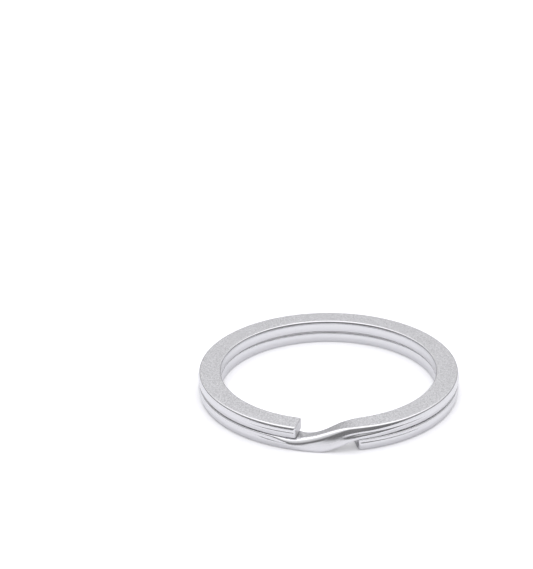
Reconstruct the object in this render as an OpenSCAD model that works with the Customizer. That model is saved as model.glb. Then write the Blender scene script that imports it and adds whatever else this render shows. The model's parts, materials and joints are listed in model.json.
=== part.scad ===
// Split key ring: one flat spring wire wound twice round, so that a key slides on between the turns.
// The ring lies flat. Angles run round it from the front, where the wire crosses from the upper
// turn down to the lower turn, and are positive towards the right.
// The wire is modelled as lengths that meet face to face. The two halves that can be prised open
// are lengths on hinges, and the rest of the wire is held together as the body of the ring.

/* [Ring] */
// Outside diameter of the ring
ring_d = 30; // [24:0.5:40]
// Width of the wire, across the face of the ring
wire_w = 2.7; // [2.2:0.05:3.3]
// Thickness of one turn of the wire
wire_t = 1.375; // [1.1:0.025:1.7]
// Gap between the two turns when the ring is closed
turn_gap = 0.05; // [0.04:0.01:0.08]

/* [Wire edges] */
// Radius of the two corners on the outside of the wire
outer_corner_r = 0.25; // [0.15:0.05:0.35]
// Radius of the two corners on the inside of the wire
inner_corner_r = 0.15; // [0.1:0.05:0.3]
// Radius of the rounded outer side of the wire
side_r = 1.75; // [1.5:0.05:3]

/* [Cut ends] */
// Angle from the front to the cut end of the upper turn, on the left
upper_end_a = 14; // [11:0.1:20]
// Angle from the front to the cut end of the lower turn, on the right
lower_end_a = 12.8; // [11:0.1:20]

/* [Crossover] */
// Angle from the front at which an outer edge starts to leave its plain turn
outer_from_a = 9.2; // [7:0.2:12]
// Angle from the front at which an inner edge starts to leave its plain turn
inner_from_a = 16.2; // [13:0.2:20]
// Angle by which an outer edge settles behind the cut end, under or over the other turn
outer_tail_a = 1.8; // [0:0.1:2.2]
// Angle by which an inner edge settles before the cut end
inner_early_a = 2; // [0:0.1:4]
// Plain wire left at each end of the crossover, as an angle
plain_a = 1.5; // [0.5:0.1:3]
// How far the inner edge is drawn outwards next to a cut end
neck_w = 0.25; // [0:0.05:0.4]

/* [Hidden] */

back_a = 180;
// Number of lengths that each opening half turn is divided into
lengths = 4;
step_z = wire_t + turn_gap;
ring_h = wire_t + step_z;
wire_mid_r = ring_d / 2 - wire_w / 2;
crossover_a = max(inner_from_a, max(upper_end_a, lower_end_a) + outer_tail_a) + plain_a;
split_a = (crossover_a + back_a) / 2;
upper_length_a = (back_a - upper_end_a) / lengths;
lower_length_a = (back_a - lower_end_a) / lengths;
corner_steps = 4;
side_steps = 4;
crossover_steps = 36;
// The neck swells and fades over this angle on each side of its middle
neck_reach_a = 9;
steel = [0.78, 0.78, 0.8];

// The corner circle touches the flat face and the rounded side from within
corner_up = wire_t / 2 - outer_corner_r;
side_centre_x = wire_w / 2 - side_r;
corner_x = side_centre_x + sqrt(pow(side_r - outer_corner_r, 2) - pow(corner_up, 2));
side_a = atan2(corner_up, corner_x - side_centre_x);

// Points along an arc, from angle a to angle b
function arc(x, y, r, a, b, steps) =
    [for (i = [0:steps]) let (t = a + (b - a) * i / steps) [x + r * cos(t), y + r * sin(t)]];

// Section of the wire about its middle: x points away from the centre of the ring, y points up
wire_outline = concat(
    arc(side_centre_x, 0, side_r, -side_a, side_a, side_steps),
    [for (i = [1:corner_steps])
        let (t = side_a + (90 - side_a) * i / corner_steps)
            [corner_x + outer_corner_r * cos(t), corner_up + outer_corner_r * sin(t)]],
    arc(-wire_w / 2 + inner_corner_r, wire_t / 2 - inner_corner_r, inner_corner_r, 90, 180, corner_steps),
    arc(-wire_w / 2 + inner_corner_r, -wire_t / 2 + inner_corner_r, inner_corner_r, 180, 270, corner_steps),
    [for (i = [0:corner_steps - 1])
        let (t = -90 + (90 - side_a) * i / corner_steps)
            [corner_x + outer_corner_r * cos(t), -corner_up + outer_corner_r * sin(t)]]
);

// Share of the level change that an edge has made at angle a: 0 on the upper turn, 1 on the lower
function level_drop(a, from_a, to_a) =
    let (u = min(1, max(0, (from_a - a) / (from_a - to_a)))) u * u * (3 - 2 * u);

// Share of the neck at angle a, a smooth swelling about its middle
function neck(a, middle_a) =
    let (u = (a - middle_a) / neck_reach_a) abs(u) < 1 ? pow(1 - u * u, 2) : 0;

// Where a point of the wire's section lies at angle a in the crossover
function crossover_point(p, a) =
    let (
        out = p[0] / wire_w + 0.5,
        up = p[1] / wire_t + 0.5,
        upper_inner = level_drop(a, inner_from_a, inner_early_a - upper_end_a),
        upper_outer = level_drop(a, outer_from_a, -upper_end_a - outer_tail_a),
        lower_inner = level_drop(a, lower_end_a - inner_early_a, -inner_from_a),
        lower_outer = level_drop(a, lower_end_a + outer_tail_a, -outer_from_a),
        upper = (1 - out) * upper_inner + out * upper_outer,
        lower = (1 - out) * lower_inner + out * lower_outer,
        necks = up * neck(a, -upper_end_a / 2) + (1 - up) * neck(a, lower_end_a / 2),
        r = wire_mid_r + p[0] + neck_w * (1 - out) * necks,
        z = step_z + wire_t / 2 + p[1] - step_z * (up * upper + (1 - up) * lower)
    )
    [r * sin(a), -r * cos(a), z];

// A plain length of the upper or lower turn between two angles
module wire_length(from_a, to_a, base_z) {
    translate([0, 0, base_z + wire_t / 2])
        rotate([0, 0, from_a - 90])
            rotate_extrude(angle = to_a - from_a, $fn = 180)
                translate([wire_mid_r, 0])
                    polygon(wire_outline);
}

// Length number n, from the back, of the half turn that ends in the upper cut end
module upper_length(n) {
    wire_length(-back_a + n * upper_length_a, -back_a + (n + 1) * upper_length_a, step_z);
}

// Length number n, from the back, of the half turn that ends in the lower cut end
module lower_length(n) {
    wire_length(back_a - (n + 1) * lower_length_a, back_a - n * lower_length_a, 0);
}

// The cranked part, where the wire changes level between the two cut ends
module crossover() {
    count = len(wire_outline);
    points = [
        for (s = [0:crossover_steps])
            let (a = crossover_a - 2 * crossover_a * s / crossover_steps)
                for (p = wire_outline) crossover_point(p, a)
    ];
    first_face = [for (i = [0:count - 1]) i];
    last_face = [for (i = [count - 1:-1:0]) crossover_steps * count + i];
    side_faces = [
        for (s = [0:crossover_steps - 1], i = [0:count - 1])
            let (j = (i + 1) % count)
                each [
                    [s * count + j, s * count + i, (s + 1) * count + i],
                    [s * count + j, (s + 1) * count + i, (s + 1) * count + j]
                ]
    ];
    color(steel)
        polyhedron(points, concat([first_face, last_face], side_faces), convexity = 4);
}

// Upper turn on the right, from the crossover round to the back, which holds the opening half
module fixed_upper_front() {
    color(steel) wire_length(crossover_a, split_a, step_z);
}

module fixed_upper_rear() {
    color(steel) wire_length(split_a, back_a, step_z);
}

// Lower turn on the left, from the crossover round to the back
module fixed_lower_front() {
    color(steel) wire_length(-split_a, -crossover_a, 0);
}

module fixed_lower_rear() {
    color(steel) wire_length(-back_a, -split_a, 0);
}

// Upper turn on the left, which lifts off the lower turn, from the back to the cut end
module upper_back() {
    color(steel) upper_length(0);
}

module upper_rear_side() {
    color(steel) upper_length(1);
}

module upper_front_side() {
    color(steel) upper_length(2);
}

module upper_tip() {
    color(steel) upper_length(3);
}

// Lower turn on the right, which bends down off the upper turn, from the back to the cut end
module lower_back() {
    color(steel) lower_length(0);
}

module lower_rear_side() {
    color(steel) lower_length(1);
}

module lower_front_side() {
    color(steel) lower_length(2);
}

module lower_tip() {
    color(steel) lower_length(3);
}

crossover();
fixed_upper_front();
fixed_upper_rear();
fixed_lower_front();
fixed_lower_rear();
upper_back();
upper_rear_side();
upper_front_side();
upper_tip();
lower_back();
lower_rear_side();
lower_front_side();
lower_tip();
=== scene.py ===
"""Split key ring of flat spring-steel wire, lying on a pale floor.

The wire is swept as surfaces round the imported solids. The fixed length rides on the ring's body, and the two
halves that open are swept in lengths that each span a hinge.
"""

import json

import bpy
import numpy as np
from mathutils import Matrix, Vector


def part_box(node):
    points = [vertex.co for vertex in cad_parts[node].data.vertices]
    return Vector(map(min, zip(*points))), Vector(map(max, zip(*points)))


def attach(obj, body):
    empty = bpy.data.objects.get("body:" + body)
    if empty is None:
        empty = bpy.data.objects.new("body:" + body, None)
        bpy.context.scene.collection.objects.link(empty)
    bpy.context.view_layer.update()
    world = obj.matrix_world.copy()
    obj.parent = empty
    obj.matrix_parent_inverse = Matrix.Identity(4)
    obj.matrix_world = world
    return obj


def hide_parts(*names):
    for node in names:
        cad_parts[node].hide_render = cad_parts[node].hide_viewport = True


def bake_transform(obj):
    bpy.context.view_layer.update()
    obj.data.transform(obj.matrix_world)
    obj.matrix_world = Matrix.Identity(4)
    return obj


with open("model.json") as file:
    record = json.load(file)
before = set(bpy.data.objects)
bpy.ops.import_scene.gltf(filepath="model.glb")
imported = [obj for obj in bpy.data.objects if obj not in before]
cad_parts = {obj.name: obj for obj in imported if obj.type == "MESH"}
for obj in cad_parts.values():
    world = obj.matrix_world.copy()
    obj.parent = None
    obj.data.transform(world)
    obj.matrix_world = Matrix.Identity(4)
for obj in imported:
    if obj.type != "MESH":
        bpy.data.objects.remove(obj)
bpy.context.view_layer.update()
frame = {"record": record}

# ---------------------------------------------------------------------------------------------------------
# Fixed length of wire: the middle of one flat spring-steel wire, rolled with rounded sides and tumbled satin.
# It runs from the back of the upper turn, down through the cranked crossover at the front, to the back of the
# lower turn. Both opening halves carry straight on from its ends.

# sizes are in mm and in degrees, and an angle round the ring is 0 at the front and larger to the right
MM = 0.001
hole_r = next(m for m in frame["record"]["mounts"] if m["name"] == "ring_inside")["dims"]["r_mm"]
ring_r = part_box("fixed_upper_front")[1].x / MM
wire_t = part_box("fixed_lower_front")[1].z / MM
step_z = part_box("fixed_upper_front")[0].z / MM
wire_w = ring_r - hole_r
mid_r = ring_r - wire_w / 2
upper_end_a = np.degrees(np.arcsin(-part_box("upper_tip")[1].x / MM / hole_r))
lower_end_a = np.degrees(np.arcsin(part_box("lower_tip")[0].x / MM / hole_r))
upper_length_a = (180 - upper_end_a) / 4
lower_length_a = (180 - lower_end_a) / 4


def rounded_side(height, mid_arc_r, mid_a, facet_a, corner_r):
    """One half of a side of the section, from its widest line to the flat face, as distance out and height.

    An arc of radius mid_arc_r turns from level to mid_a. A nearly flat arc, whose radius makes up the height
    that is left, turns to facet_a. The corner's own arc turns to upright.
    """
    middle_points, facet_points, corner_points = 5, 15, 10
    reach, t1, t2 = wire_w / 2, np.radians(mid_a), np.radians(facet_a)
    facet_r = (height - mid_arc_r * np.sin(t1) - corner_r * (1 - np.sin(t2))) / (np.sin(t2) - np.sin(t1))
    up1 = mid_arc_r * np.sin(t1)
    out1 = reach - mid_arc_r * (1 - np.cos(t1))
    up2 = up1 + facet_r * (np.sin(t2) - np.sin(t1))
    out2 = out1 - facet_r * (np.cos(t1) - np.cos(t2))
    middle = t1 * np.linspace(0, 1, middle_points)
    facet = t1 + (t2 - t1) * np.linspace(0, 1, facet_points)[1:]
    corner = t2 + (np.pi / 2 - t2) * np.linspace(0, 1, corner_points)[1:]
    out = np.concatenate([
        reach - mid_arc_r * (1 - np.cos(middle)),
        out1 - facet_r * (np.cos(t1) - np.cos(facet)),
        out2 - corner_r * (np.cos(t2) - np.cos(corner)),
    ], axis=1)
    up = np.concatenate([
        mid_arc_r * np.sin(middle),
        up1 + facet_r * (np.sin(facet) - np.sin(t1)),
        up2 + corner_r * (np.sin(corner) - np.sin(t2)),
    ], axis=1)
    return out, up, np.concatenate([middle, facet, corner], axis=1)


def wire_section(upper_corner_r, lower_corner_r, lean, twist, stretch, groove):
    """Section of the wire for every ring of the mesh, with its satin and edge shares, from under its middle.

    The outline goes out along the bottom face, up the outer side, in along the top face and down the inner
    side. The outer side leans back by lean over its upper half. Twist leans it further and moves its widest
    line down. Stretch multiplies those angles, to make up for the height that the crossover adds. The rolled
    groove along the outer side is a bell curve across its height. Satin is 1 on the flat faces and fades out
    over the corners. Edge is half a sine wave over the turn of each corner.
    """
    level = np.ones_like(upper_corner_r)
    half, widest = wire_t / 2, -0.5 * twist
    outer_arc_r, inner_arc_r = 0.42, 1.5
    upper_arc_a, upper_facet_a = (5 + 4 * lean + 8 * twist) * stretch, (13 + 6 * lean + 3 * twist) * stretch
    lower_arc_a, lower_facet_a = 11 * level, 21 * level
    inner_arc_a, inner_facet_a = 6 * level, 17 * level
    inner_upper_r, inner_lower_r = 0.06 + 0.08 * lean, 0.14 - 0.08 * lean
    out_up = rounded_side(half - widest, outer_arc_r, upper_arc_a, upper_facet_a, upper_corner_r)
    out_low = rounded_side(half + widest, outer_arc_r, lower_arc_a, lower_facet_a, lower_corner_r)
    in_up = rounded_side(half, inner_arc_r, inner_arc_a, inner_facet_a, inner_upper_r)
    in_low = rounded_side(half, inner_arc_r, inner_arc_a, inner_facet_a, inner_lower_r)

    def face(from_x, to_x, count, y):
        share = np.linspace(0, 1, count + 2)[1:-1]
        x = from_x + (to_x - from_x) * share
        return x, np.full_like(x, y), np.full_like(x, np.pi / 2)

    half_bottom_points, top_points = 6, 14
    start = face(0 * level, out_low[0][:, -1:], half_bottom_points, -half)
    top = face(out_up[0][:, -1:], -in_up[0][:, -1:], top_points, half)
    close = face(-in_low[0][:, -1:], 0 * level, half_bottom_points, -half)
    x = np.concatenate([
        0 * level, start[0], out_low[0][:, :0:-1], out_up[0],
        top[0], -in_up[0][:, :0:-1], -in_low[0], close[0],
    ], axis=1)
    y = np.concatenate([
        -half * level, start[1], widest - out_low[1][:, :0:-1], widest + out_up[1],
        top[1], in_up[1][:, :0:-1], -in_low[1], close[1],
    ], axis=1)
    turned = np.degrees(np.concatenate([
        np.pi / 2 * level, start[2], out_low[2][:, :0:-1], out_up[2],
        top[2], in_up[2][:, :0:-1], in_low[2], close[2],
    ], axis=1))
    groove_y, groove_reach = 0.12 + 0.27 * (1 - lean) - 0.16 * twist, 0.12
    x = x - groove * np.exp(-(((y - groove_y) / groove_reach) ** 2)) * (x > 0)
    satin_from_a, satin_full_a, edge_from_a, edge_to_a = 62, 88, 20, 90
    satin = np.clip((turned - satin_from_a) / (satin_full_a - satin_from_a), 0, 1)
    edge = np.sin(np.pi * np.clip((turned - edge_from_a) / (edge_to_a - edge_from_a), 0, 1))
    return x, y, satin, edge


def rise(value, start, end):
    """Smooth step from 0 at start to 1 at end: three times the share squared, less twice the share cubed."""
    share = np.clip((value - start) / (end - start), 0, 1)
    return share * share * (3 - 2 * share)


def crossover_place(a, x, y):
    """Distance out and height of a section point at angle a, through the crossover and on both plain turns.

    Each of the four edges leaves the upper turn and settles on the lower one over its own span of angle, by a
    smooth step. The point's drop is the mix of the four by its place in the section. Next to each cut end the
    inner edge is drawn outwards into a neck: its height times the square of one less the share squared.
    """
    out, up = x / wire_w + 0.5, y / wire_t + 0.5

    def neck(height, middle_a, reach_a):
        share = (a - middle_a) / reach_a
        return height * np.where(np.abs(share) < 1, (1 - share * share) ** 2, 0)

    # beside a cut end the inner edges' slopes stop short of it, and the outer edges' slopes go on past it
    short_a, past_a, inner_far_a, upper_outer_far_a, lower_outer_far_a = 2, 1.8, 16.2, 9.2, -4.5
    upper_inner = rise(a, inner_far_a, short_a - upper_end_a)
    upper_outer = rise(a, upper_outer_far_a, -upper_end_a - past_a)
    lower_inner = rise(a, lower_end_a - short_a, -inner_far_a)
    lower_outer = rise(a, lower_end_a + past_a, lower_outer_far_a)
    upper = (1 - out) * upper_inner + out * upper_outer
    lower = (1 - out) * lower_inner + out * lower_outer
    upper_neck = neck(height=0.68, middle_a=-upper_end_a / 2, reach_a=14)
    lower_neck = neck(height=0.25, middle_a=lower_end_a / 2, reach_a=9)
    r = mid_r + x + (1 - out) * (up * upper_neck + (1 - up) * lower_neck)
    z = step_z + wire_t / 2 + y - step_z * (up * upper + (1 - up) * lower)
    return r, z


def plain_place(height):
    """Gives the function that keeps a section point on a plain turn, whose underside is at that height."""
    return lambda a, x, y: (mid_r + x, height + wire_t / 2 + y)


bevel, outer_bevel = 0.1, 0.34


def cut_rings(angles, way):
    """Angle, inset and size share of each ring of a length whose last angle is a cut end.

    The rings over the bevel are spaced and drawn in as a quarter ellipse. Those on the end face all stand at
    the last angle and shrink towards its middle.
    """
    bevel_rings, least_gap_a = 12, 0.02
    t = np.linspace(0, np.pi / 2, bevel_rings)
    back = np.degrees(outer_bevel * (1 - np.sin(t)) / mid_r)
    kept = angles[np.abs(angles[-1] - angles) > back[0] + least_gap_a]
    face = np.array([0.97, 0.9, 0.78, 0.64, 0.5, 0.36, 0.22, 0.1])
    stands_at = np.concatenate([kept, angles[-1] - way * back, np.full(len(face), angles[-1])])
    inset = np.concatenate([np.zeros(len(kept)), bevel * (1 - np.cos(t)), np.full(len(face), bevel)])
    return stands_at, inset, np.concatenate([np.ones(len(kept) + len(t)), face])


def wire_piece(name, angles, place, turns_on, cut=0):
    """One closed length of wire, as the section carried round the ring through the given angles.

    A ring of points stands at each angle. Where cut is 1 the last angle is a cut end, or where it is -1 the
    first: the section draws in by the bevel, further at the outer side than elsewhere, and the end face runs
    in to a middle point, with the shallow dip and steps that the shear leaves. The angle with turns_on added
    is the angle along the whole wire, so that shapes and patterns run on from length to length.
    """
    angles = np.asarray(angles, float)
    angles = angles[::-1] if cut < 0 else angles
    way = np.sign(angles[-1] - angles[0])
    # a ring just inside each joint keeps the shading level right up to it
    beside = 0.004 * way
    angles = np.concatenate([angles[:1], angles[:1] + beside, angles[1:]])
    if cut:
        angles, inset, shrink = cut_rings(angles, way)
    else:
        angles = np.concatenate([angles[:-1], angles[-1:] - beside, angles[-1:]])
        inset, shrink = np.zeros(len(angles)), np.ones(len(angles))
    a = angles[:, None]

    # run_a is 360 in the middle of the crossover. The outer side leans back from just before it to the wire's
    # far end, and twists where the wire comes down, while the groove runs out and the top corner swells.
    run_a = a + turns_on
    lean = rise(run_a, 324, 344)
    twist = rise(run_a, 338, 358) * rise(run_a, 396, 368)
    swollen = rise(a, 11, -4) * rise(a, -25, -16) if place is crossover_place else 0 * a
    stretch = 1 + 0.32 * swollen * rise(a, -10, 4)
    grooved = 1 - rise(run_a, 330, 350) * rise(run_a, 374, 364)
    groove_depth, run = 0.038 * (0.75 + 0.25 * lean), np.radians(run_a)
    groove = groove_depth * grooved * (0.8 + 0.13 * np.sin(3.1 * run) + 0.07 * np.sin(11 * run))
    upper_corner_r, lower_corner_r = 0.12 + 0.08 * lean + 0.65 * swollen, 0.2 - 0.08 * twist
    x, y, satin, edge = wire_section(upper_corner_r, lower_corner_r, lean, twist, stretch, groove)

    # the bevel and the sheared face of a cut end
    normal_x, normal_y = np.roll(y, -1, 1) - np.roll(y, 1, 1), np.roll(x, 1, 1) - np.roll(x, -1, 1)
    outermost = np.clip(2 * x / wire_w, 0, 1) ** 6
    inset = inset[:, None] * (1 + (outer_bevel / bevel - 1) * outermost) / np.hypot(normal_x, normal_y)
    x, y = (x - inset * normal_x) * shrink[:, None], (y - inset * normal_y) * shrink[:, None]
    hollow, shear_step, tear = 0.02, 0.012, 0.004
    dip = hollow + shear_step * rise(y, 0.15, -0.15) + tear * np.sin(19 * x + 7 * np.sin(5 * y))
    a = a - way * np.degrees((1 - shrink[:, None]) * dip / mid_r)
    r, z = place(a, x, y)
    t = np.radians(a)
    points = (np.stack([r * np.sin(t), -r * np.cos(t), z], axis=-1) * MM).reshape(-1, 3)

    # four-sided faces between the rings, then one face over the first end and one face or a fan over the last
    rings, around = x.shape
    i, j = np.indices((rings - 1, around)).reshape(2, -1, 1)
    ring, side = i + np.array([0, 0, 1, 1]), j + np.array([0, 1, 1, 0])
    if way > 0:
        ring, side = ring[:, ::-1], side[:, ::-1]
    quads = ring * around + side % around
    walls = len(quads)
    first, last = np.arange(around), (rings - 1) * around + np.arange(around)
    first_cap = [(first if way > 0 else first[::-1]).tolist()]
    if cut:
        points = np.vstack([points, points[-around:].mean(0)])
        fan = np.stack([last, np.roll(last, -1), np.full(around, len(points) - 1)], -1)
        last_cap = (fan[:, ::-1] if way > 0 else fan).tolist()
    else:
        last_cap = [(last[::-1] if way > 0 else last).tolist()]
    mesh = bpy.data.meshes.new(name)
    mesh.from_pydata(points.tolist(), [], quads.tolist() + first_cap + last_cap)
    smooth = np.ones(len(mesh.polygons), bool)
    smooth[walls] = False
    smooth[walls + 1:] = bool(cut)
    mesh.polygons.foreach_set("use_smooth", smooth)

    middle_point = np.zeros(len(points) - rings * around)
    for label, share in (("satin", satin), ("edge", edge)):
        values = np.concatenate([(share * (shrink == 1)[:, None]).ravel(), middle_point])
        mesh.attributes.new(label, "FLOAT", "POINT").data.foreach_set("value", values.astype(np.float32))
    # pattern coordinates in mm: along the wire, and round its section from under its middle
    along = np.radians(a + turns_on) * mid_r
    step = np.hypot(np.roll(x, -1, 1) - x, np.roll(y, -1, 1) - y)
    round_it = np.concatenate([0 * step[:, :1], np.cumsum(step, 1)], axis=1)
    spots = np.zeros((len(mesh.loops), 2), np.float32)
    spots[:walls * 4, 0] = along[ring.ravel(), side.ravel() % around]
    spots[:walls * 4, 1] = round_it[ring.ravel(), side.ravel()]
    mesh.uv_layers.new(name="along_wire").data.foreach_set("uv", spots.ravel())
    mesh.materials.append(wire_steel)
    mesh.materials.append(sheared_steel)
    slots = np.zeros(len(mesh.polygons), np.int32)
    slots[:walls] = np.repeat(shrink[1:] < 1, around)
    slots[walls + 1:] = bool(cut)
    mesh.polygons.foreach_set("material_index", slots)
    mesh.update()
    piece = bpy.data.objects.new(name, mesh)
    bpy.context.scene.collection.objects.link(piece)
    return piece


def effect(name, inputs, output):
    """A new shader node group with the given inputs and one value out. Gives its tree and two end nodes."""
    tree = bpy.data.node_groups.new(name, "ShaderNodeTree")
    for label, kind, value in inputs:
        socket = tree.interface.new_socket(label, in_out="INPUT", socket_type=kind)
        if value is not None:
            socket.default_value = value
    tree.interface.new_socket(output, in_out="OUTPUT", socket_type="NodeSocketFloat")
    return tree, tree.nodes.new("NodeGroupInput"), tree.nodes.new("NodeGroupOutput")


def added(tree, kind, inputs=None, **settings):
    """A new node with its settings. Each input gets another node's output, or its own number or colour."""
    node = tree.nodes.new(kind)
    for label, value in settings.items():
        setattr(node, label, value)
    for label, source in (inputs or {}).items():
        if isinstance(source, bpy.types.NodeSocket):
            tree.links.new(source, node.inputs[label])
        else:
            node.inputs[label].default_value = source
    return node


def worked_out(tree, operation, *terms):
    """The result of one Math node. Each term is another node's output or a number."""
    return added(tree, "ShaderNodeMath", dict(enumerate(terms)), operation=operation).outputs[0]


def ranged(tree, value, from_range, to_range):
    """The value moved evenly from one range to another, and held at its ends."""
    return added(tree, "ShaderNodeMapRange", {
        "Value": value, "From Min": from_range[0], "From Max": from_range[1],
        "To Min": to_range[0], "To Max": to_range[1],
    }).outputs["Result"]


def mixed(tree, share, first, second):
    """The colour between two others by share. A Mix node has colours on sockets 6 and 7, and on output 2."""
    return added(tree, "ShaderNodeMix", {0: share, 6: first, 7: second}, data_type="RGBA").outputs[2]


# Tumbled grain: the fine matt pits that tumbling with stones leaves
grain, g_in, g_out = effect("tumbled_grain", [
    ("Place", "NodeSocketVector", None), ("Size", "NodeSocketFloat", 6500.0),
], "Grain")
pitting = added(grain, "ShaderNodeTexNoise", {
    "Vector": g_in.outputs["Place"], "Scale": g_in.outputs["Size"], "Detail": 3.0, "Roughness": 0.6,
})
grain.links.new(pitting.outputs["Fac"], g_out.inputs["Grain"])

# Edge wear: patches along a corner where rubbing has burnished it
wear, w_in, w_out = effect("edge_wear", [
    ("Place", "NodeSocketVector", None),
    ("Edge", "NodeSocketFloat", 0.0),
    ("Patch", "NodeSocketFloat", 700.0),
], "Wear")
patches = added(wear, "ShaderNodeTexNoise", {
    "Vector": w_in.outputs["Place"], "Scale": w_in.outputs["Patch"], "Detail": 4.0, "Roughness": 0.65,
})
spread = ranged(wear, patches.outputs["Fac"], (0.35, 0.65), (0.35, 1.0))
wear.links.new(worked_out(wear, "MULTIPLY", spread, w_in.outputs["Edge"]), w_out.inputs["Wear"])


def steel(name, grain_size, grain_depth, matt, bright, dark, light, side):
    """Bare steel. Where satin is 1 it is matt and grained from dark to light, and elsewhere bright and plain.

    Roughness goes from bright to matt with satin, times a spread about 1 by the grain, times a little less
    where a corner is burnished. Colour goes from the side's tone to the grain's tones with satin.
    """
    material = bpy.data.materials.new(name)
    material.use_nodes = True
    tree = material.node_tree
    shader = tree.nodes["Principled BSDF"]
    shader.inputs["Metallic"].default_value = 1.0
    place = added(tree, "ShaderNodeTexCoord").outputs["Object"]
    satin = added(tree, "ShaderNodeAttribute", attribute_name="satin").outputs["Fac"]
    edge = added(tree, "ShaderNodeAttribute", attribute_name="edge").outputs["Fac"]
    pits = added(
        tree, "ShaderNodeGroup", {"Place": place, "Size": grain_size}, node_tree=grain,
    ).outputs["Grain"]
    worn = added(tree, "ShaderNodeGroup", {"Place": place, "Edge": edge}, node_tree=wear).outputs["Wear"]

    rough = ranged(tree, satin, (0.0, 1.0), (bright, matt))
    uneven = ranged(tree, pits, (0.3, 0.7), (0.86, 1.14))
    burnished = ranged(tree, worn, (0.0, 1.0), (1.0, 0.7))
    roughness = worked_out(tree, "MULTIPLY", worked_out(tree, "MULTIPLY", rough, uneven), burnished)
    tree.links.new(roughness, shader.inputs["Roughness"])

    blue = 1.015
    dark_grey, light_grey, side_grey = ((tone, tone, tone * blue, 1) for tone in (dark, light, side))
    grained = mixed(tree, ranged(tree, pits, (0.3, 0.7), (0.0, 1.0)), dark_grey, light_grey)
    tree.links.new(mixed(tree, satin, side_grey, grained), shader.inputs["Base Color"])

    # drawn lines: fine scratches along the wire from the rolls and dies, far longer than they are wide
    line_depth, lines_per_mm = 0.0000012, (0.35, 22.0, 1.0)
    along = added(tree, "ShaderNodeUVMap", uv_map="along_wire").outputs["UV"]
    drawn_out = added(tree, "ShaderNodeMapping", {"Vector": along, "Scale": lines_per_mm}).outputs["Vector"]
    lines = added(tree, "ShaderNodeTexNoise", {
        "Vector": drawn_out, "Scale": 1.0, "Detail": 4.0, "Roughness": 0.7,
    }, noise_dimensions="2D").outputs["Fac"]
    pitted = added(tree, "ShaderNodeBump", {
        "Strength": 1.0, "Distance": grain_depth, "Height": worked_out(tree, "MULTIPLY", pits, satin),
    }).outputs["Normal"]
    lined = added(tree, "ShaderNodeBump", {
        "Strength": 1.0, "Distance": line_depth, "Height": lines, "Normal": pitted,
    }).outputs["Normal"]
    tree.links.new(lined, shader.inputs["Normal"])
    return material


wire_steel = steel(
    "wire_steel", grain_size=6500.0, grain_depth=0.000009, matt=0.34, bright=0.13,
    dark=0.39, light=0.81, side=0.82,
)
sheared_steel = steel(
    "sheared_steel", grain_size=6000.0, grain_depth=0.000006, matt=0.36, bright=0.3,
    dark=0.42, light=0.74, side=0.6,
)

upper_root_a = 180 - upper_length_a / 2
lower_root_a = 180 - lower_length_a / 2
bend_a, bend_spacing_a, turn_rings = 24, 0.25, 272
fixed_angles = np.concatenate([
    np.linspace(-lower_root_a, -bend_a, turn_rings)[:-1],
    np.arange(-bend_a, bend_a + 0.01, bend_spacing_a),
    np.linspace(bend_a, upper_root_a, turn_rings)[1:],
])
fixed_wire = wire_piece("wire_fixed", fixed_angles, crossover_place, 360)
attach(fixed_wire, "ring_body")
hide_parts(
    "crossover", "fixed_upper_front", "fixed_upper_rear", "fixed_lower_front", "fixed_lower_rear",
)

# ---------------------------------------------------------------------------------------------------------
# Upper opening half: the last half turn of the same wire, sprung down on the lower turn and cut off square.
# It lifts so that a key slides in under its end. Each length here spans from the middle of one solid to the
# middle of the next, across the hinge between them.
ring_spacing_a = 0.4


for n, node in enumerate(("upper_back", "upper_rear_side", "upper_front_side", "upper_tip")):
    hinge_a = -180 + n * upper_length_a
    from_a = hinge_a - upper_length_a / 2
    to_a = -upper_end_a if node == "upper_tip" else hinge_a + upper_length_a / 2
    angles = np.linspace(from_a, to_a, int(round((to_a - from_a) / ring_spacing_a)))
    piece = wire_piece(f"wire_{node}", angles, plain_place(step_z), 720, cut=int(node == "upper_tip"))
    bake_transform(piece)
    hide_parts(node)

# ---------------------------------------------------------------------------------------------------------
# Lower opening half: the first half turn of the same wire, under the upper turn on the right, with the other
# cut end. It opens downward off the upper turn, and its lengths span its hinges in the same way.
for n, node in enumerate(("lower_back", "lower_rear_side", "lower_front_side", "lower_tip")):
    hinge_a = 180 - n * lower_length_a
    from_a = hinge_a + lower_length_a / 2
    to_a = lower_end_a if node == "lower_tip" else hinge_a - lower_length_a / 2
    angles = np.linspace(to_a, from_a, int(round((from_a - to_a) / ring_spacing_a)))
    piece = wire_piece(f"wire_{node}", angles, plain_place(0), 0, cut=-int(node == "lower_tip"))
    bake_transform(piece)
    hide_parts(node)

# ---------------------------------------------------------------------------------------------------------
# Floor: plain pale matt board, large enough to fill every view. It looks a little brighter than the light
# that it throws back on the ring.
floor_reach, floor_z = 3, -0.00001
floor_mesh = bpy.data.meshes.new("floor")
floor_mesh.from_pydata([
    (-floor_reach, -floor_reach, floor_z), (floor_reach, -floor_reach, floor_z),
    (floor_reach, floor_reach, floor_z), (-floor_reach, floor_reach, floor_z),
], [], [(0, 1, 2, 3)])
floor = bpy.data.objects.new("floor", floor_mesh)
bpy.context.scene.collection.objects.link(floor)
board = bpy.data.materials.new("pale_board")
board.use_nodes = True
paint = board.node_tree.nodes["Principled BSDF"]
for label, value in {
    "Base Color": (0.93, 0.93, 0.95, 1), "Roughness": 0.8, "Specular IOR Level": 0.1,
    "Emission Color": (1, 1, 1, 1),
}.items():
    paint.inputs[label].default_value = value
looked_at = added(board.node_tree, "ShaderNodeLightPath").outputs["Is Camera Ray"]
lift = worked_out(board.node_tree, "MULTIPLY", looked_at, 0.23)
board.node_tree.links.new(lift, paint.inputs["Emission Strength"])
floor_mesh.materials.append(board)

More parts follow.
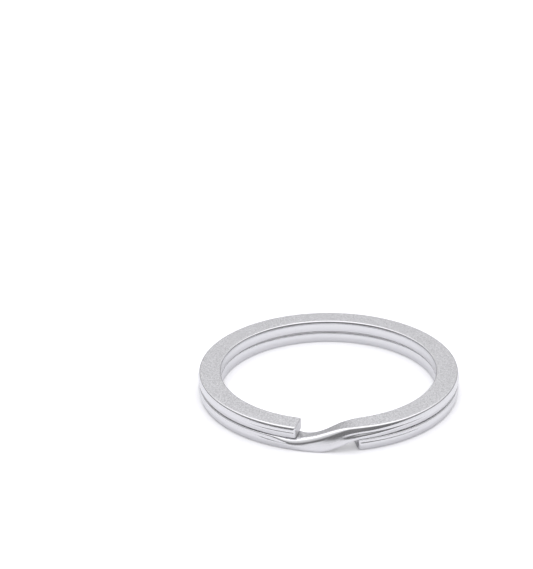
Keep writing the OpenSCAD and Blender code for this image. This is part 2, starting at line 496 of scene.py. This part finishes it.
# ---------------------------------------------------------------------------------------------------------
# Light: a white tent, brightest overhead and open round its foot, so that a dark band stands at the horizon,
# less dark at the back and darker at both sides. Satin faces turn it to soft grey, and the polished sides
# show it as thin dark and bright lines.
world = bpy.data.worlds.new("tent")
bpy.context.scene.world = world
world.use_nodes = True
tent = world.node_tree
back_lift, side_drop = 0.2, -0.22
toward = added(tent, "ShaderNodeTexCoord").outputs["Generated"]
parts = added(tent, "ShaderNodeSeparateXYZ", {"Vector": toward})
across, inwards, up = (parts.outputs[axis] for axis in "XYZ")
at_back = worked_out(tent, "MULTIPLY_ADD", worked_out(tent, "MAXIMUM", inwards, 0.0), back_lift, up)
at_side = worked_out(tent, "MULTIPLY_ADD", worked_out(tent, "MULTIPLY", across, across), side_drop, at_back)
cloth = added(tent, "ShaderNodeValToRGB", {"Fac": at_side})
cloth.color_ramp.interpolation = "EASE"
stops = [(0.0, 0.16), (0.2, 0.22), (0.36, 0.6), (0.64, 0.86), (0.84, 1.46), (1.0, 1.55)]
while len(cloth.color_ramp.elements) < len(stops):
    cloth.color_ramp.elements.new(0.5)
for stop, (height, bright) in zip(cloth.color_ramp.elements, stops):
    stop.position = height
    stop.color = (bright, bright * 0.995, bright * 1.02, 1)
seen = added(tent, "ShaderNodeLightPath").outputs["Is Camera Ray"]
lit = mixed(tent, seen, cloth.outputs["Color"], (1, 1, 1, 1))
tent.links.new(lit, tent.nodes["Background"].inputs["Color"])

# ---------------------------------------------------------------------------------------------------------
# Camera: a long lens looking down at the front of the ring, with the ring low and right of the middle.
# Down, pan and tilt turn it in that order, and away is its distance from the ring's centre.
camera_data = bpy.data.cameras.new("camera")
camera_data.lens = 125.97
camera_data.clip_start = 0.01
camera = bpy.data.objects.new("camera", camera_data)
bpy.context.scene.collection.objects.link(camera)
down, pan, tilt, away = np.radians(27.559), np.radians(1.777), np.radians(3.013), 0.230748
right = np.array([1.0, 0, 0])
ahead = np.array([0, np.cos(down), -np.sin(down)])
above = np.array([0, np.sin(down), np.cos(down)])
right, ahead = np.cos(pan) * right + np.sin(pan) * ahead, -np.sin(pan) * right + np.cos(pan) * ahead
above, ahead = np.cos(tilt) * above - np.sin(tilt) * ahead, np.sin(tilt) * above + np.cos(tilt) * ahead
turn = np.eye(4)
turn[:3, 0], turn[:3, 1], turn[:3, 2] = right, above, -ahead
turn[:3, 3] = 0, -away * np.cos(down), away * np.sin(down)
camera.matrix_world = Matrix(turn.tolist())
bpy.context.scene.camera = camera
bpy.context.scene.view_settings.view_transform = "Standard"
